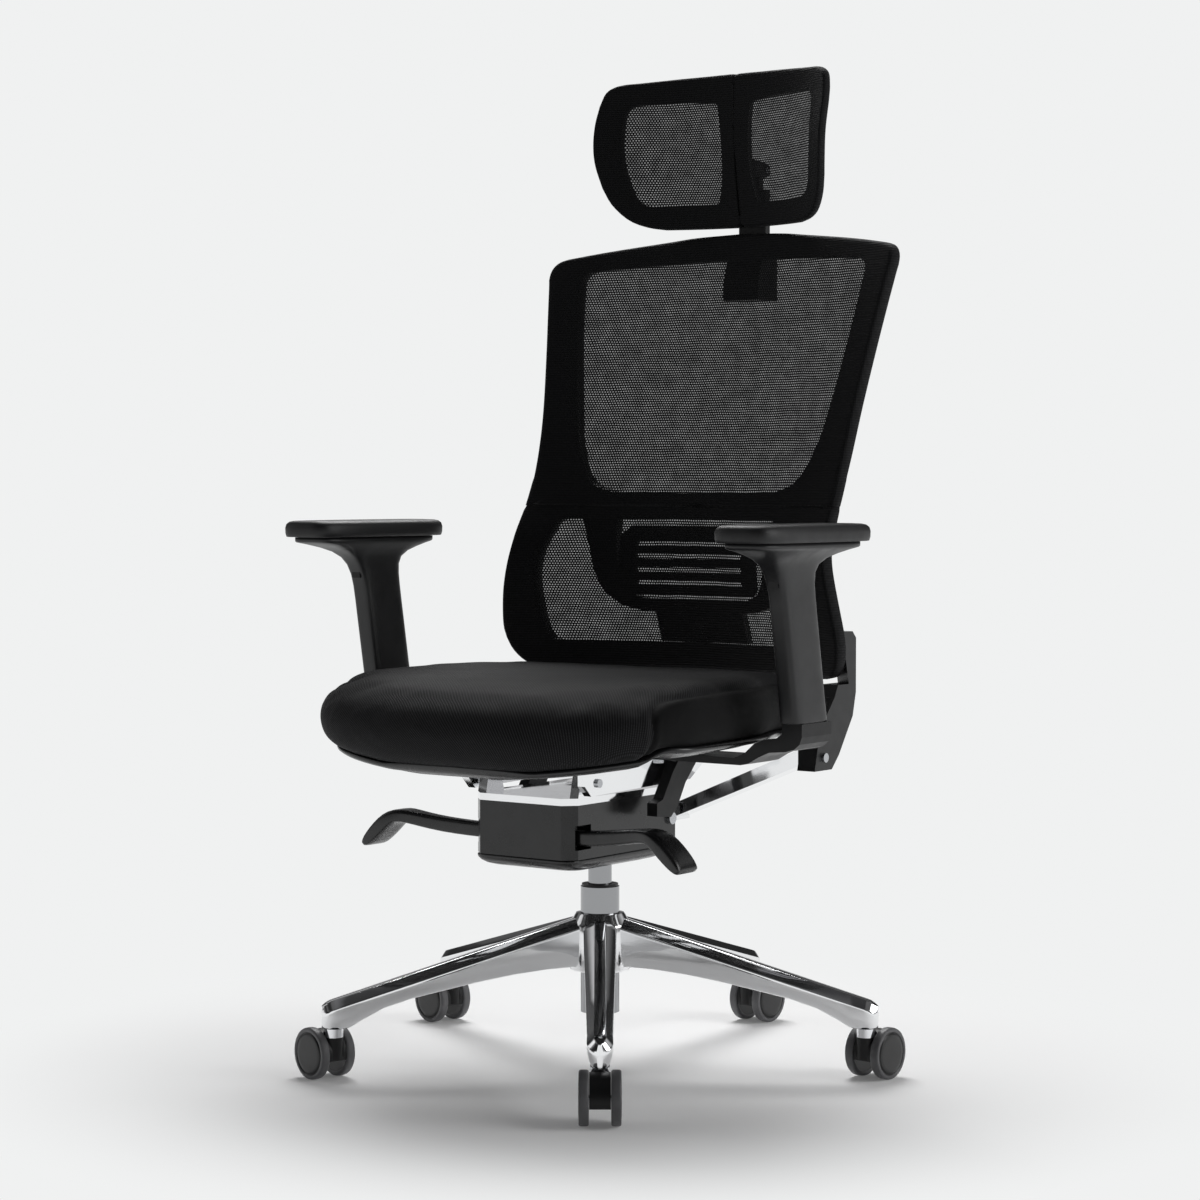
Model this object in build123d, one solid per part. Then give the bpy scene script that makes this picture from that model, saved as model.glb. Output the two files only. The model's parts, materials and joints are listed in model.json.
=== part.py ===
from build123d import *
import math
import os

os.makedirs("parts", exist_ok=True)

# ---------------------------------------------------------------- driving dimensions, mm
PIN_R = 322.0            # base centre to caster stem
LEG_AZ = [36.0, -36.0, 108.0, -108.0, 180.0]   # leg directions, from -Y towards +X
LEG_TOP_HUB, LEG_TOP_TIP = 177.0, 93.0
LEG_TIP_BOTTOM = 62.0
WHEEL_R = 30.0
TRAIL = 19.0
TUBE_R, TUBE_TOP = 23.0, 211.0
CYL_R = 14.0             # gas cylinder radius
CYL_TOP = 300.0
HOUSE_X, HOUSE_Y0, HOUSE_Y1 = 72.0, -155.0, 58.0
HOUSE_Z0, HOUSE_Z1 = 261.0, 323.0
BACK_PIVOT = (42.0, 292.0)       # y, z of the recline axis
SEAT_PIVOT = (-125.0, 348.0)     # y, z of the seat's front axis
LEVER_PIVOT_X, LEVER_Y, LEVER_Z = 58.0, -130.0, 285.0
LEVER_SHORT = 28.0       # how much shorter the tilt lever is
SEAT_TOP, SEAT_BOTTOM = 466.0, 399.5
ROCK_Z = 1496.0          # centre height of the curve along the seat's front underside
ARM_X0, ARM_X1 = 287.0, 313.0
ARM_LEAN = 10.0          # arm posts lean back going down, degrees
PAD_TOP = 642.0
FRAME_T = 22.0           # back frame thickness
HEAD_T = 14.0            # headrest frame thickness
HEAD_PIVOT = (332.0, 1080.0)

# trail direction of each caster, one per leg, in the order of LEG_AZ
TRAIL_DIR = [(0.588, -0.809), (-0.971, 0.247), (0.065, 0.998), (-0.971, 0.247), (0.065, 0.998)]

# back surface: z, y at the centre, curvature (1/mm)
BACK_S = [(430, 224, .00130), (470, 215, .00128), (530, 195, .00120), (575, 184, .001155), (600, 184, .00115),
          (650, 198, .00103), (700, 214, .00090), (770, 238, .00090), (850, 258, .00082), (930, 276, .00071),
          (1012, 297, .00062)]
HEAD_S = [(995, 303, .0026), (1050, 294, .0026), (1110, 286, .0025), (1160, 284, .00205), (1205, 285, .0018)]


# ---------------------------------------------------------------- helpers
def bx(x0, x1, y0, y1, z0, z1):
    return Pos((x0 + x1) / 2, (y0 + y1) / 2, (z0 + z1) / 2) * Box(abs(x1 - x0), abs(y1 - y0), abs(z1 - z0))


def cz(x, y, z0, z1, r):
    return Pos(x, y, (z0 + z1) / 2) * Cylinder(r, z1 - z0)


def cx(x0, x1, y, z, r):
    return Pos((x0 + x1) / 2, y, z) * (Rot(0, 90, 0) * Cylinder(r, abs(x1 - x0)))


def cy(y0, y1, x, z, r):
    return Pos(x, (y0 + y1) / 2, z) * (Rot(90, 0, 0) * Cylinder(r, abs(y1 - y0)))


def poly_x(pts, x0, x1):
    """prism of a (y, z) outline between two x"""
    f = Face(Wire.make_polygon([Vector(x0, p[0], p[1]) for p in pts], close=True))
    return Solid.extrude(f, Vector(x1 - x0, 0, 0))


def poly_y(pts, y0, y1):
    """prism of an (x, z) outline between two y"""
    f = Face(Wire.make_polygon([Vector(p[0], y0, p[1]) for p in pts], close=True))
    return Solid.extrude(f, Vector(0, y1 - y0, 0))


def poly_z(pts, z0, z1):
    f = Face(Wire.make_polygon([Vector(p[0], p[1], z0) for p in pts], close=True))
    return Solid.extrude(f, Vector(0, 0, z1 - z0))


def solids_of(s):
    return s.solids()


def one(s):
    """largest solid of a result"""
    ss = s.solids()
    return max(ss, key=lambda q: q.volume)


def group(items):
    out = []
    for i in items:
        out.extend(i.solids())
    return Compound(children=out) if len(out) > 1 else out[0]


def mirror_x(s):
    return s.mirror(Plane.YZ)


NODES = {}


def put(name, shape):
    NODES[name] = shape


def slab(table, off0, off1, half):
    """curved sheet between two offsets behind the front surface"""
    wires = []
    for z, yc, k in table:
        ye = yc - k * half * half
        a0, b0, c0 = Vector(-half, ye + off0, z), Vector(0, yc + off0, z), Vector(half, ye + off0, z)
        a1, b1, c1 = Vector(-half, ye + off1, z), Vector(0, yc + off1, z), Vector(half, ye + off1, z)
        wires.append(Wire([Edge.make_three_point_arc(a0, b0, c0), Edge.make_line(c0, c1),
                           Edge.make_three_point_arc(c1, b1, a1), Edge.make_line(a1, a0)]))
    return Solid.make_loft(wires)


def outline(right, top, bottom_half, bottom_z, y0=60.0, y1=380.0):
    """symmetric (x, z) outline extruded along y: bottom line, right side, corner (first of top), top edge"""
    def v(x, z):
        return Vector(x, y0, z)
    side = [(bottom_half, bottom_z)] + right
    edges = [Edge.make_spline([v(x, z) for x, z in side]),
             Edge.make_three_point_arc(v(*right[-1]), v(*top[0]), v(*top[1])),
             Edge.make_spline([v(x, z) for x, z in top[1:-1]]),
             Edge.make_three_point_arc(v(*top[-2]), v(*top[-1]), v(-right[-1][0], right[-1][1])),
             Edge.make_spline([v(-x, z) for x, z in reversed(side)]),
             Edge.make_line(v(-bottom_half, bottom_z), v(bottom_half, bottom_z))]
    return Solid.extrude(Face(Wire(edges)), Vector(0, y1 - y0, 0))


# ---------------------------------------------------------------- base
def leg(az):
    def sec(x, zt, h):
        return Wire.make_polygon([Vector(x, 6.5, zt), Vector(x, h, zt - 9), Vector(x, h, 60), Vector(x, -h, 60),
                                  Vector(x, -h, zt - 9), Vector(x, -6.5, zt)], close=True)
    body = Solid.make_loft([sec(20, LEG_TOP_HUB, 20.0), sec(PIN_R + 2, LEG_TOP_TIP, 14.0)], ruled=True)
    under = poly_y([(-5, 50), (-5, 118), (60, 117), (140, 108), (210, 95), (268, 80), (298, 66), (304, LEG_TIP_BOTTOM),
                    (350, LEG_TIP_BOTTOM), (350, 50)], -60, 60)
    s = body - under
    s = s + cz(PIN_R, 0, LEG_TIP_BOTTOM, LEG_TOP_TIP - 6, 14.5)
    s = s - cz(PIN_R, 0, LEG_TIP_BOTTOM - 1, 86, 8.0)
    return Rot(0, 0, az - 90) * s


star = cz(0, 0, 112, 168, 37) + Pos(0, 0, 174) * Cone(37, 29, 12)
for a in LEG_AZ:
    star = star + leg(a)
star = star - cz(0, 0, 50, 250, TUBE_R)
put("base_star", star)

tube = cz(0, 0, 62, TUBE_TOP, TUBE_R) - cz(0, 0, 66, TUBE_TOP + 1, 20.5) - cz(0, 0, 60, 70, 6.0)
put("column_tube", tube)
bush = cz(0, 0, 100, TUBE_TOP, 20.45) + cz(0, 0, TUBE_TOP, TUBE_TOP + 3, 21.5) - cz(0, 0, 90, 220, CYL_R + 0.06)
put("column_bush", bush)
put("lift_bearing", group([cz(0, 0, 66, 68, 13) - cz(0, 0, 65, 69, 4.6), cz(0, 0, 68, 72, 12.5) - cz(0, 0, 67, 73, 7.5),
                           cz(0, 0, 72, 74, 13) - cz(0, 0, 71, 75, 4.6), cz(0, 0, 59, 60.5, 9) - cz(0, 0, 58, 61, 4.6)]))
sleeves = []
pins = []
for a in LEG_AZ:
    t = math.radians(a)
    px, py = PIN_R * math.sin(t), -PIN_R * math.cos(t)
    pins.append((px, py))
    sleeves.append(cz(px, py, LEG_TIP_BOTTOM, 86, 7.95) + cz(px, py, 60.6, LEG_TIP_BOTTOM, 10.5) - cz(px, py, 60, 87, 5.56))
put("caster_sockets", group(sleeves))

# ---------------------------------------------------------------- casters
for i, ((px, py), (tx, ty)) in enumerate(zip(pins, TRAIL_DIR), 1):
    place = Pos(px, py, 0) * Rot(0, 0, math.degrees(math.atan2(ty, tx)))
    hood = cy(-11.6, 11.6, TRAIL, WHEEL_R, 27.5) & bx(-30, 60, -20, 20, 23, 70)
    fork = hood + cz(0, 0, 25, 50, 11.0) + bx(0, TRAIL, -9.5, 9.5, 25, 46)
    fork = fork - cy(-30, 30, TRAIL, WHEEL_R, 3.0) - cz(0, 0, 50, 62, 12.3)
    put(f"caster_{i}_fork", place * one(fork))
    stem = cz(0, 0, 50, 60, 11.0) + cz(0, 0, 60, 84, 5.5)
    axle = cy(-21.5, 21.5, TRAIL, WHEEL_R, 3.0)
    put(f"caster_{i}_stem", group([place * one(stem), place * one(axle)]))
    for side, sg in (("l", 1), ("r", -1)):
        ys = sorted((sg * 12.0, sg * 23.0))
        tread = one(cy(ys[0], ys[1], TRAIL, WHEEL_R, WHEEL_R) - cy(-40, 40, TRAIL, WHEEL_R, 25.2))
        tread = tread.chamfer(1.4, None, [e for e in tread.edges().filter_by(GeomType.CIRCLE) if e.radius > 28])
        hs = sorted((sg * 12.4, sg * 22.0))
        hub = cy(hs[0], hs[1], TRAIL, WHEEL_R, 25.2) - cy(-40, 40, TRAIL, WHEEL_R, 3.05)
        cs = sorted((sg * 22.0, sg * 23.4))
        cap = cy(cs[0], cs[1], TRAIL, WHEEL_R, 21.0)
        put(f"caster_{i}_wheel_{side}", group([place * one(tread), place * one(hub), place * one(cap)]))

# ---------------------------------------------------------------- gas lift
put("piston_rod", cz(0, 0, 57, 185, 4.5) + cz(0, 0, 185, 195, 10.8))
cyl = cz(0, 0, 90, CYL_TOP, CYL_R) - cz(0, 0, 95, 285, 11.0) - cz(0, 0, 80, 96, 4.56) - cz(0, 0, 280, CYL_TOP + 1, 3.05)
put("gas_cylinder", cyl)
put("valve_pin", cz(0, 0, 287.5, 306.7, 3.0))

# ---------------------------------------------------------------- mechanism
by, bz = BACK_PIVOT
hprof = [(-HOUSE_X, HOUSE_Z0), (-HOUSE_X, HOUSE_Z1), (HOUSE_X, HOUSE_Z1), (HOUSE_X, HOUSE_Z0)]
hplan = [(-HOUSE_X, HOUSE_Y0 + 14), (-HOUSE_X + 14, HOUSE_Y0), (HOUSE_X - 14, HOUSE_Y0), (HOUSE_X, HOUSE_Y0 + 14),
         (HOUSE_X, HOUSE_Y1 - 6), (HOUSE_X - 6, HOUSE_Y1), (-HOUSE_X + 6, HOUSE_Y1), (-HOUSE_X, HOUSE_Y1 - 6)]
house = poly_z(hplan, HOUSE_Z0, HOUSE_Z1)
cavity = bx(-62, 62, -146, 55, 266, 330) - cz(0, 0, 250, CYL_TOP, 26)
house = house - cavity - bx(-47, 47, 40, 70, 266, 330)
for sg in (-1, 1):
    for y0 in (-150.0, -116.0):
        xs = sorted((sg * 52.0, sg * 63.0))
        house = house + bx(xs[0], xs[1], y0, y0 + 6, 266, 296)
house = house - cy(-149.6, -110.4, -LEVER_PIVOT_X, LEVER_Z, 4.06) - cy(-149.6, -110.4, LEVER_PIVOT_X, LEVER_Z, 4.06)
for sg in (-1, 1):
    xs = sorted((sg * 55.0, sg * 80.0))
    house = house - bx(xs[0], xs[1], -143.5, -116.5, 272, 300)
house = house - cz(0, 0, 250, 310, CYL_R + 0.02) - cx(-80, 80, by, bz, 7.0)
put("mech_housing", one(house))
cprof = [(-HOUSE_X, HOUSE_Z0), (-HOUSE_X + 2, 253), (-HOUSE_X + 16, 244), (HOUSE_X - 16, 244), (HOUSE_X - 2, 253), (HOUSE_X, HOUSE_Z0)]
clong = [(HOUSE_Y0 + 1, HOUSE_Z0), (HOUSE_Y0 + 12, 250), (HOUSE_Y0 + 34, 244), (20, 244), (44, 252), (HOUSE_Y1, HOUSE_Z0)]
cover = poly_y(cprof, HOUSE_Y0, HOUSE_Y1) & poly_x(clong, -90, 90) & poly_z(hplan, 240, 265)
cover = cover - (bx(-60, 60, -140, 36, 248, 262) - cz(0, 0, 240, 262, 20)) - cz(0, 0, 240, 262, CYL_R + 0.02)
put("mech_cover", one(cover))
sy, sz = SEAT_PIVOT
plate = poly_z([(p[0], p[1]) for p in hplan], HOUSE_Z1, 331)
for sg in (-1, 1):
    xs = sorted((sg * 60.0, sg * 72.0))
    lug = poly_x([(sy - 16, 330), (sy + 18, 330), (sy + 10, sz + 8), (sy + 4, sz + 12), (sy - 4, sz + 12), (sy - 10, sz + 8)], xs[0], xs[1])
    plate = plate + lug
plate = plate - cx(-90, 90, sy, sz, 5.0) - bx(-30, 30, -30, 34, 320, 335)
put("mech_plate", one(plate))
put("pivot_shafts", group([cx(58, 91, sy, sz, 5.0), cx(-91, -58, sy, sz, 5.0), cx(-76, 76, by, bz, 7.0)]))
springs = []
for sg in (-1, 1):
    s = None
    for n in range(4):
        t = Pos(sg * (49.5 + 2.9 * n), by, bz) * (Rot(0, 90, 0) * Torus(10.2, 1.7))
        s = t if s is None else s + t
    springs.append(s)
put("tilt_spring", group(springs))


def lever(sg, inner):
    d = 0 if inner else LEVER_SHORT
    up = [(50, 280), (50, 290), (150 - d, 291), (192 - d, 300), (200 - d, 300), (200 - d, 290), (190 - d, 287), (150 - d, 281)]
    pad = [(186 - d, 291), (193 - d, 301), (206 - d, 301), (242 - d, 262), (239 - d, 256), (226 - d, 258), (200 - d, 290)]
    s = poly_y([(sg * x, z) for x, z in up], LEVER_Y - 8, LEVER_Y + 8)
    s = s + poly_y([(sg * x, z) for x, z in pad], LEVER_Y - 20, LEVER_Y + 20)
    s = s + cy(-149.0, -111.0, sg * LEVER_PIVOT_X, LEVER_Z, 4.0)
    if inner:
        a = sorted((sg * 12.0, sg * 52.0))
        s = s + bx(a[0], a[1], LEVER_Y - 8, LEVER_Y + 8, 280, 290)
        a = sorted((sg * 8.0, sg * 20.0))
        s = s + bx(a[0], a[1], LEVER_Y - 8, LEVER_Y + 8, 280, 313)
        s = s + bx(-9, 9, LEVER_Y - 8, 6, 307, 313)
    else:
        a = sorted((sg * 38.0, sg * 52.0))
        s = s + bx(a[0], a[1], LEVER_Y - 8, LEVER_Y + 8, 278, 292)
    return one(s)


put("height_lever", lever(-1, True))
put("tilt_lever", lever(1, False))

# ---------------------------------------------------------------- back yoke
yoke = cx(-45, 45, by, bz, 13) + bx(-45, 45, by, 122, 283, 301)
for sg in (-1, 1):
    a = Wire.make_polygon([Vector(sg * 38, 84, 284), Vector(sg * 38, 122, 284), Vector(sg * 38, 122, 300), Vector(sg * 38, 84, 300)], close=True)
    b = Wire.make_polygon([Vector(sg * 214, 98, 357), Vector(sg * 214, 130, 357), Vector(sg * 214, 130, 376), Vector(sg * 214, 98, 376)], close=True)
    yoke = yoke + Solid.make_loft([a, b], ruled=True)
yoke = yoke - cx(-80, 80, by, bz, 7.06)
put("back_yoke", one(yoke))

# ---------------------------------------------------------------- back frame and mesh
back_right = [(226, 461), (240, 478), (245.5, 510), (240.4, 550), (231, 600), (226.3, 650), (225.6, 700), (230, 770),
              (239.6, 850), (251.0, 930), (254.0, 950)]
back_top = [(250, 965), (236, 974), (200, 980), (100, 992), (0, 998), (-100, 992), (-200, 980), (-236, 974), (-250, 965)]
back_solid = slab(BACK_S, 0, FRAME_T, 275)
full = outline(back_right, back_top, 205, 455)
win_right = [(150, 684), (166, 706), (180, 740), (186.7, 770), (194.2, 810), (200.9, 850), (206.9, 890), (212.6, 935)]
win_top = [(210, 951), (199, 957), (100, 963), (0, 965), (-100, 963), (-199, 957), (-210, 951)]
upper_win = outline(win_right, win_top, 122, 676)
low_right = [(197, 497), (202, 530), (202, 570), (196, 608), (188, 628)]
low_top = [(183, 638), (172, 642), (0, 642), (-172, 642), (-183, 638)]


def low_shape():
    pts_r = [Vector(x, 60, z) for x, z in [(186, 489)] + low_right]
    pts_l = [Vector(-v.X, 60, v.Z) for v in reversed(pts_r)]
    er = Edge.make_spline(pts_r)
    el = Edge.make_spline(pts_l)
    tr = Edge.make_three_point_arc(Vector(188, 60, 628), Vector(183, 60, 638), Vector(172, 60, 642))
    tl = Edge.make_three_point_arc(Vector(-172, 60, 642), Vector(-183, 60, 638), Vector(-188, 60, 628))
    f = Face(Wire([Edge.make_line(pts_l[-1], pts_r[0]), er, tr, Edge.make_line(Vector(172, 60, 642), Vector(-172, 60, 642)), tl, el]))
    return Solid.extrude(f, Vector(0, 320, 0))


frame_s = (back_solid & full) - upper_win - low_shape()
frame_s = one(frame_s)

# lumbar cradle with its spine, set back behind the mesh
cr_out = [(160, 642), (-160, 642), (-146, 610), (-138, 575), (-128, 550), (-108, 534), (-84, 528), (-64, 528), (-64, 489),
          (64, 489), (64, 528), (84, 528), (108, 534), (128, 550), (138, 575), (146, 610)]
cr_in = [(116, 650), (-116, 650), (-110, 600), (-104, 566), (-94, 550), (-76, 543), (76, 543), (94, 550), (104, 566), (110, 600)]
cradle = (slab(BACK_S, 15, 27, 275) & (poly_y(cr_out, 100, 300) - poly_y(cr_in, 90, 310)))
put("lumbar_cradle", one(cradle))

# lumbar pad with four louvres
pad_o = [(-92, 548), (92, 548), (100.5, 558), (100.5, 622), (88, 634), (-88, 634), (-100.5, 622), (-100.5, 558)]
pad_s = slab(BACK_S, 5.5, 11, 275) & poly_y(pad_o, 100, 300)
for zc in (564, 580, 596, 612):
    pad_s = pad_s - bx(-78, 78, 100, 300, zc - 3, zc + 3)
put("lumbar_pad", one(pad_s))

mesh_right = [(222, 465), (236, 482), (241.5, 510), (236.4, 550), (227, 600), (222.3, 650), (221.6, 700), (226, 770),
              (235.6, 850), (247.0, 930), (250.0, 948)]
mesh_top = [(246, 961), (233, 970), (198, 976), (100, 988), (0, 994), (-100, 988), (-198, 976), (-233, 970), (-246, 961)]
put("back_mesh", one(slab(BACK_S, -2.0, -0.2, 275) & outline(mesh_right, mesh_top, 203, 459)))

# corner brackets from the yoke to the frame, with their screws
brk_prof = [(96, 352), (134, 352), (150, 368), (181, 412), (188, 440), (188, 504), (180, 512), (160, 512), (158, 470), (140, 436), (108, 400)]
screws = []
brks = []
for sg in (-1, 1):
    xs = sorted((sg * 214.0, sg * 238.0))
    b = poly_x(brk_prof, xs[0], xs[1])
    brks.append(b)
    for zc in (474.0, 496.0):
        screws.append(cy(157, 188, sg * 226, zc, 3.0) + cy(187, 191, sg * 226, zc, 5.5) - cy(189.5, 192, sg * 226, zc, 2.5))
    screws.append(cx(sg * 204, sg * 238, 116, 367, 3.0) + cx(sg * 238, sg * 241.5, 116, 367, 5.5))
cut_back = None
brk_solids = []
for b in brks:
    b = b - (slab(BACK_S, -40, FRAME_T, 275) & bx(-300, 300, 60, 400, 450, 560))
    b = one(b)
    for s in screws:
        b = b - s
    brk_solids.append(one(b))
for s in screws:
    frame_s = frame_s - s
put("back_frame", one(frame_s))
yk = NODES["back_yoke"]
for s in screws:
    yk = yk - s
put("back_yoke", one(yk))
put("back_brackets", group(brk_solids))
put("back_screws", group([one(s) for s in screws]))

# ---------------------------------------------------------------- headrest
hb = bx(-26, 26, 300, 345, 916, 1000) - bx(-20.2, 20.2, 326.8, 337.2, 900, 1010)
hb = hb - NODES["back_frame"] - (slab(BACK_S, -30, FRAME_T - 0.001, 275) & bx(-40, 40, 200, 400, 900, 1005))
put("headrest_bracket", one(hb))
hy, hz = HEAD_PIVOT
stem = bx(-20, 20, 327, 337, 922, hz - 24) + bx(-10, 10, 327, 337, hz - 26, hz) + cx(-10, 10, hy, hz, 8)
stem = stem - cx(-30, 30, hy, hz, 4.0)
put("headrest_stem", one(stem))
put("headrest_pin", cx(-19, 19, hy, hz, 4.0))
head_right = [(128, 1013), (148, 1030), (161, 1058), (167, 1090), (169, 1120), (169, 1145), (167, 1165)]
head_top = [(161, 1182), (146, 1190), (80, 1195), (0, 1197), (-80, 1195), (-146, 1190), (-161, 1182)]
hslab = slab(HEAD_S, 0, HEAD_T, 185)
hfull = outline(head_right, head_top, 100, 1008)


def hwin(sg):
    pts = [(22, 1152), (20, 1132), (19, 1100), (21, 1068), (26, 1044), (34, 1036), (110, 1036), (125, 1044), (135, 1064),
           (139, 1090), (140, 1120), (140, 1146), (136, 1158), (124, 1163), (34, 1164), (26, 1160)]
    return poly_y([(sg * x, z) for x, z in pts], 100, 380)


hf = (hslab & hfull) - hwin(1) - hwin(-1)
for sg in (-1, 1):
    xs = sorted((sg * 10.5, sg * 18.0))
    hf = hf + (poly_x([(298, hz - 12), (hy, hz - 9), (hy + 9, hz), (hy, hz + 9), (298, hz + 12)], xs[0], xs[1]))
hf = hf - cx(-30, 30, hy, hz, 4.05)
hf = hf - slab(HEAD_S, -40, 0, 185)
put("headrest_frame", one(hf))
hm_right = [(126, 1016), (145, 1032), (158, 1059), (164, 1090), (166, 1120), (166, 1144), (164, 1163)]
hm_top = [(158, 1179), (144, 1187), (80, 1192), (0, 1194), (-80, 1192), (-144, 1187), (-158, 1179)]
put("headrest_mesh", one(slab(HEAD_S, -2.0, -0.2, 185) & outline(hm_right, hm_top, 99, 1011)))

# ---------------------------------------------------------------- seat
plan = [(-165, 150), (-192, 138), (-206, 110), (-214, 60), (-236, 0), (-248, -80), (-252, -140), (-250, -185), (-240, -222),
        (-222, -250), (-196, -270), (-155, -285), (-80, -296), (0, -299)]
plan = plan + [(-x, y) for x, y in reversed(plan[:-1])]
cush_prof = [(152, 404), (152, 448), (138, 456), (90, 461), (0, 466), (-120, 466), (-200, 461), (-250, 453), (-280, 441), (-296, 428),
             (-300, 416), (-297, 402), (-288, 386), (-275, 373), (-262, 366), (-246, 366), (-205, 401), (-190, SEAT_BOTTOM), (140, SEAT_BOTTOM)]
cushion = poly_x(cush_prof, -260, 260) & poly_z(plan, 350, 480) & cy(-350, 200, 0, ROCK_Z, ROCK_Z - 367)
put("seat_cushion", one(cushion))
plan2 = [(x * 0.975, y * 0.975) for x, y in plan]
pan_prof = [(150, SEAT_BOTTOM), (-189, SEAT_BOTTOM), (-205, 402), (-282, 402), (-282, 370), (-276, 362), (-262, 358), (-244, 358), (-190, 386), (150, 386)]
pan = poly_x(pan_prof, -260, 260) & poly_z(plan2, 340, 480) & cy(-350, 200, 0, ROCK_Z, ROCK_Z - 360)
pan = pan - NODES["seat_cushion"]
put("seat_pan", one(pan))
sp = bx(-130, 130, -150, 110, 379, 386)
for sg in (-1, 1):
    xs = sorted((sg * 78.0, sg * 88.0))
    sp = sp + poly_x([(-150, 379), (-150, 346), (-138, 334), (60, 338), (104, 366), (110, 379)], xs[0], xs[1])
sp = sp - cx(-95, 95, sy, sz, 5.06)
links = []
for sg in (-1, 1):
    xs = sorted((sg * 92.0, sg * 106.0))
    links.append(poly_x([(22, 378.9), (-2, 352), (-22, 322), (-34, 318), (-34, 303), (-6, 300), (8, 312), (24, 338), (46, 360), (72, 368),
                         (72, 378.9)], xs[0], xs[1]))
put("seat_links", group(links))
sc_pts = [(-112, -120), (112, -120), (-112, 90), (112, 90), (-112, -72), (112, -72)]
for x, y in sc_pts:
    sp = sp - cz(x, y, 370, 390, 3.0)


def arm_bracket():
    prof = [(313, 420.5), (313, 406), (310, 398), (303, 392), (292, 389), (270, 387), (256, 381), (243, 373.5), (232, 371), (95, 371),
            (95, 378.9), (224, 378.9), (238, 385.3), (250, 396), (262, 401), (279, 403), (287, 409), (287, 420.5)]
    s = poly_y(prof, -52, 10)
    t = math.tan(math.radians(ARM_LEAN))
    s = s + poly_x([(-48.1, 418), (-7.0, 418), (-7.0 - 100 * t, 518), (-48.1 - 100 * t, 518)], 291.2, 308.8)
    for x, y in sc_pts:
        s = s - cz(x, y, 365, 390, 3.0)
    for y in (-40, -4):
        s = s - cz(112, y, 365, 390, 3.0)
    return one(s)


ab = arm_bracket()
put("arm_bracket_r", ab)
put("arm_bracket_l", mirror_x(ab))
seat_scr = []
for x, y in sc_pts[:4]:
    seat_scr.append(cz(x, y, 376, 389, 3.0) + cz(x, y, 373, 379, 6.0))
for sg in (-1, 1):
    for y in (-40, -4):
        seat_scr.append(cz(sg * 112, y, 369, 387, 3.0) + cz(sg * 112, y, 366, 371, 6.0))
for s in seat_scr:
    sp = sp - s
put("seat_plate", one(sp))
pn = NODES["seat_pan"]
for s in seat_scr:
    pn = pn - s
put("seat_pan", one(pn))
put("seat_screws", group([one(s) for s in seat_scr]))


# ---------------------------------------------------------------- arms
def arm_sleeve():
    t = math.tan(math.radians(ARM_LEAN))

    def sh(y, z):
        return (y - (z - 421) * t, z)
    prof = [(-60, 421), (6, 421), sh(6, 560), sh(8, 580), sh(14, 596), (12, 606), (34, 614), (34, 621.5), (-160, 621.5), (-160, 614),
            (-118, 606), sh(-66, 590), sh(-61, 575), sh(-60, 560)]
    post = poly_x(prof, ARM_X0, ARM_X1)
    base = bx(277, 341, -168, 42, 615.5, 622)
    s = post + base
    cav = poly_x([(-48, 415), (-6, 415), (-6 - 180 * t, 595), (-48 - 180 * t, 595)], 291, 309)
    s = s - cav
    s = s - bx(293.8, 306.2, -98, -80.5, 571.8, 586.2)
    return one(s)


asl = arm_sleeve()
put("arm_sleeve_r", asl)
put("arm_sleeve_l", mirror_x(asl))
btn = bx(294, 306, -91, -84.2, 572, 586)
put("arm_button_r", btn)
put("arm_button_l", mirror_x(btn))
pad_plan = [(276, 55), (268, 40), (268, -160), (276, -176), (292, -180), (326, -180), (342, -176), (350, -160), (350, 40), (342, 55)]
apad = poly_z(pad_plan, 622.2, PAD_TOP)
apad = one(apad)
top_edges = [e for e in apad.edges() if abs(e.center().Z - PAD_TOP) < 0.01]
apad = apad.chamfer(5, None, top_edges)
put("arm_pad_r", apad)
put("arm_pad_l", mirror_x(apad))

# ---------------------------------------------------------------- write
for name, shape in NODES.items():
    export_step(shape, f"parts/{name}.step")
print(len(NODES), "nodes")
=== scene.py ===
import json
import math
import bpy
import numpy as np
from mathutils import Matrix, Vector

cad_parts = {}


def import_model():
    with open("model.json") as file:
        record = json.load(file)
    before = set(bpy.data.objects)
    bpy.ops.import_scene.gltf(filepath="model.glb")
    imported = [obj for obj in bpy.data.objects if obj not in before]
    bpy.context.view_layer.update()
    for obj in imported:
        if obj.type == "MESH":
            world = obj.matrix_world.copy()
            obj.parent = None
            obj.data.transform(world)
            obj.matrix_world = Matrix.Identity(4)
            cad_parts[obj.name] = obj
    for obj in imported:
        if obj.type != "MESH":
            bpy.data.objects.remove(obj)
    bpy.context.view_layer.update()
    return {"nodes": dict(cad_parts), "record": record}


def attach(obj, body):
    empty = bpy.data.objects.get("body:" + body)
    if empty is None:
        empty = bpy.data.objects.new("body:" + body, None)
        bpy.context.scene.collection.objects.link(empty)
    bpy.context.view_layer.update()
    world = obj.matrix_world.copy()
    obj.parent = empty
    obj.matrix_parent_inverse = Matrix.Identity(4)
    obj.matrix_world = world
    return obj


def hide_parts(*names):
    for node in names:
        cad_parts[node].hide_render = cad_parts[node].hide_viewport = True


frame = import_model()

scene = bpy.context.scene
NODES = frame["nodes"]
MM = 0.001


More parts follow.
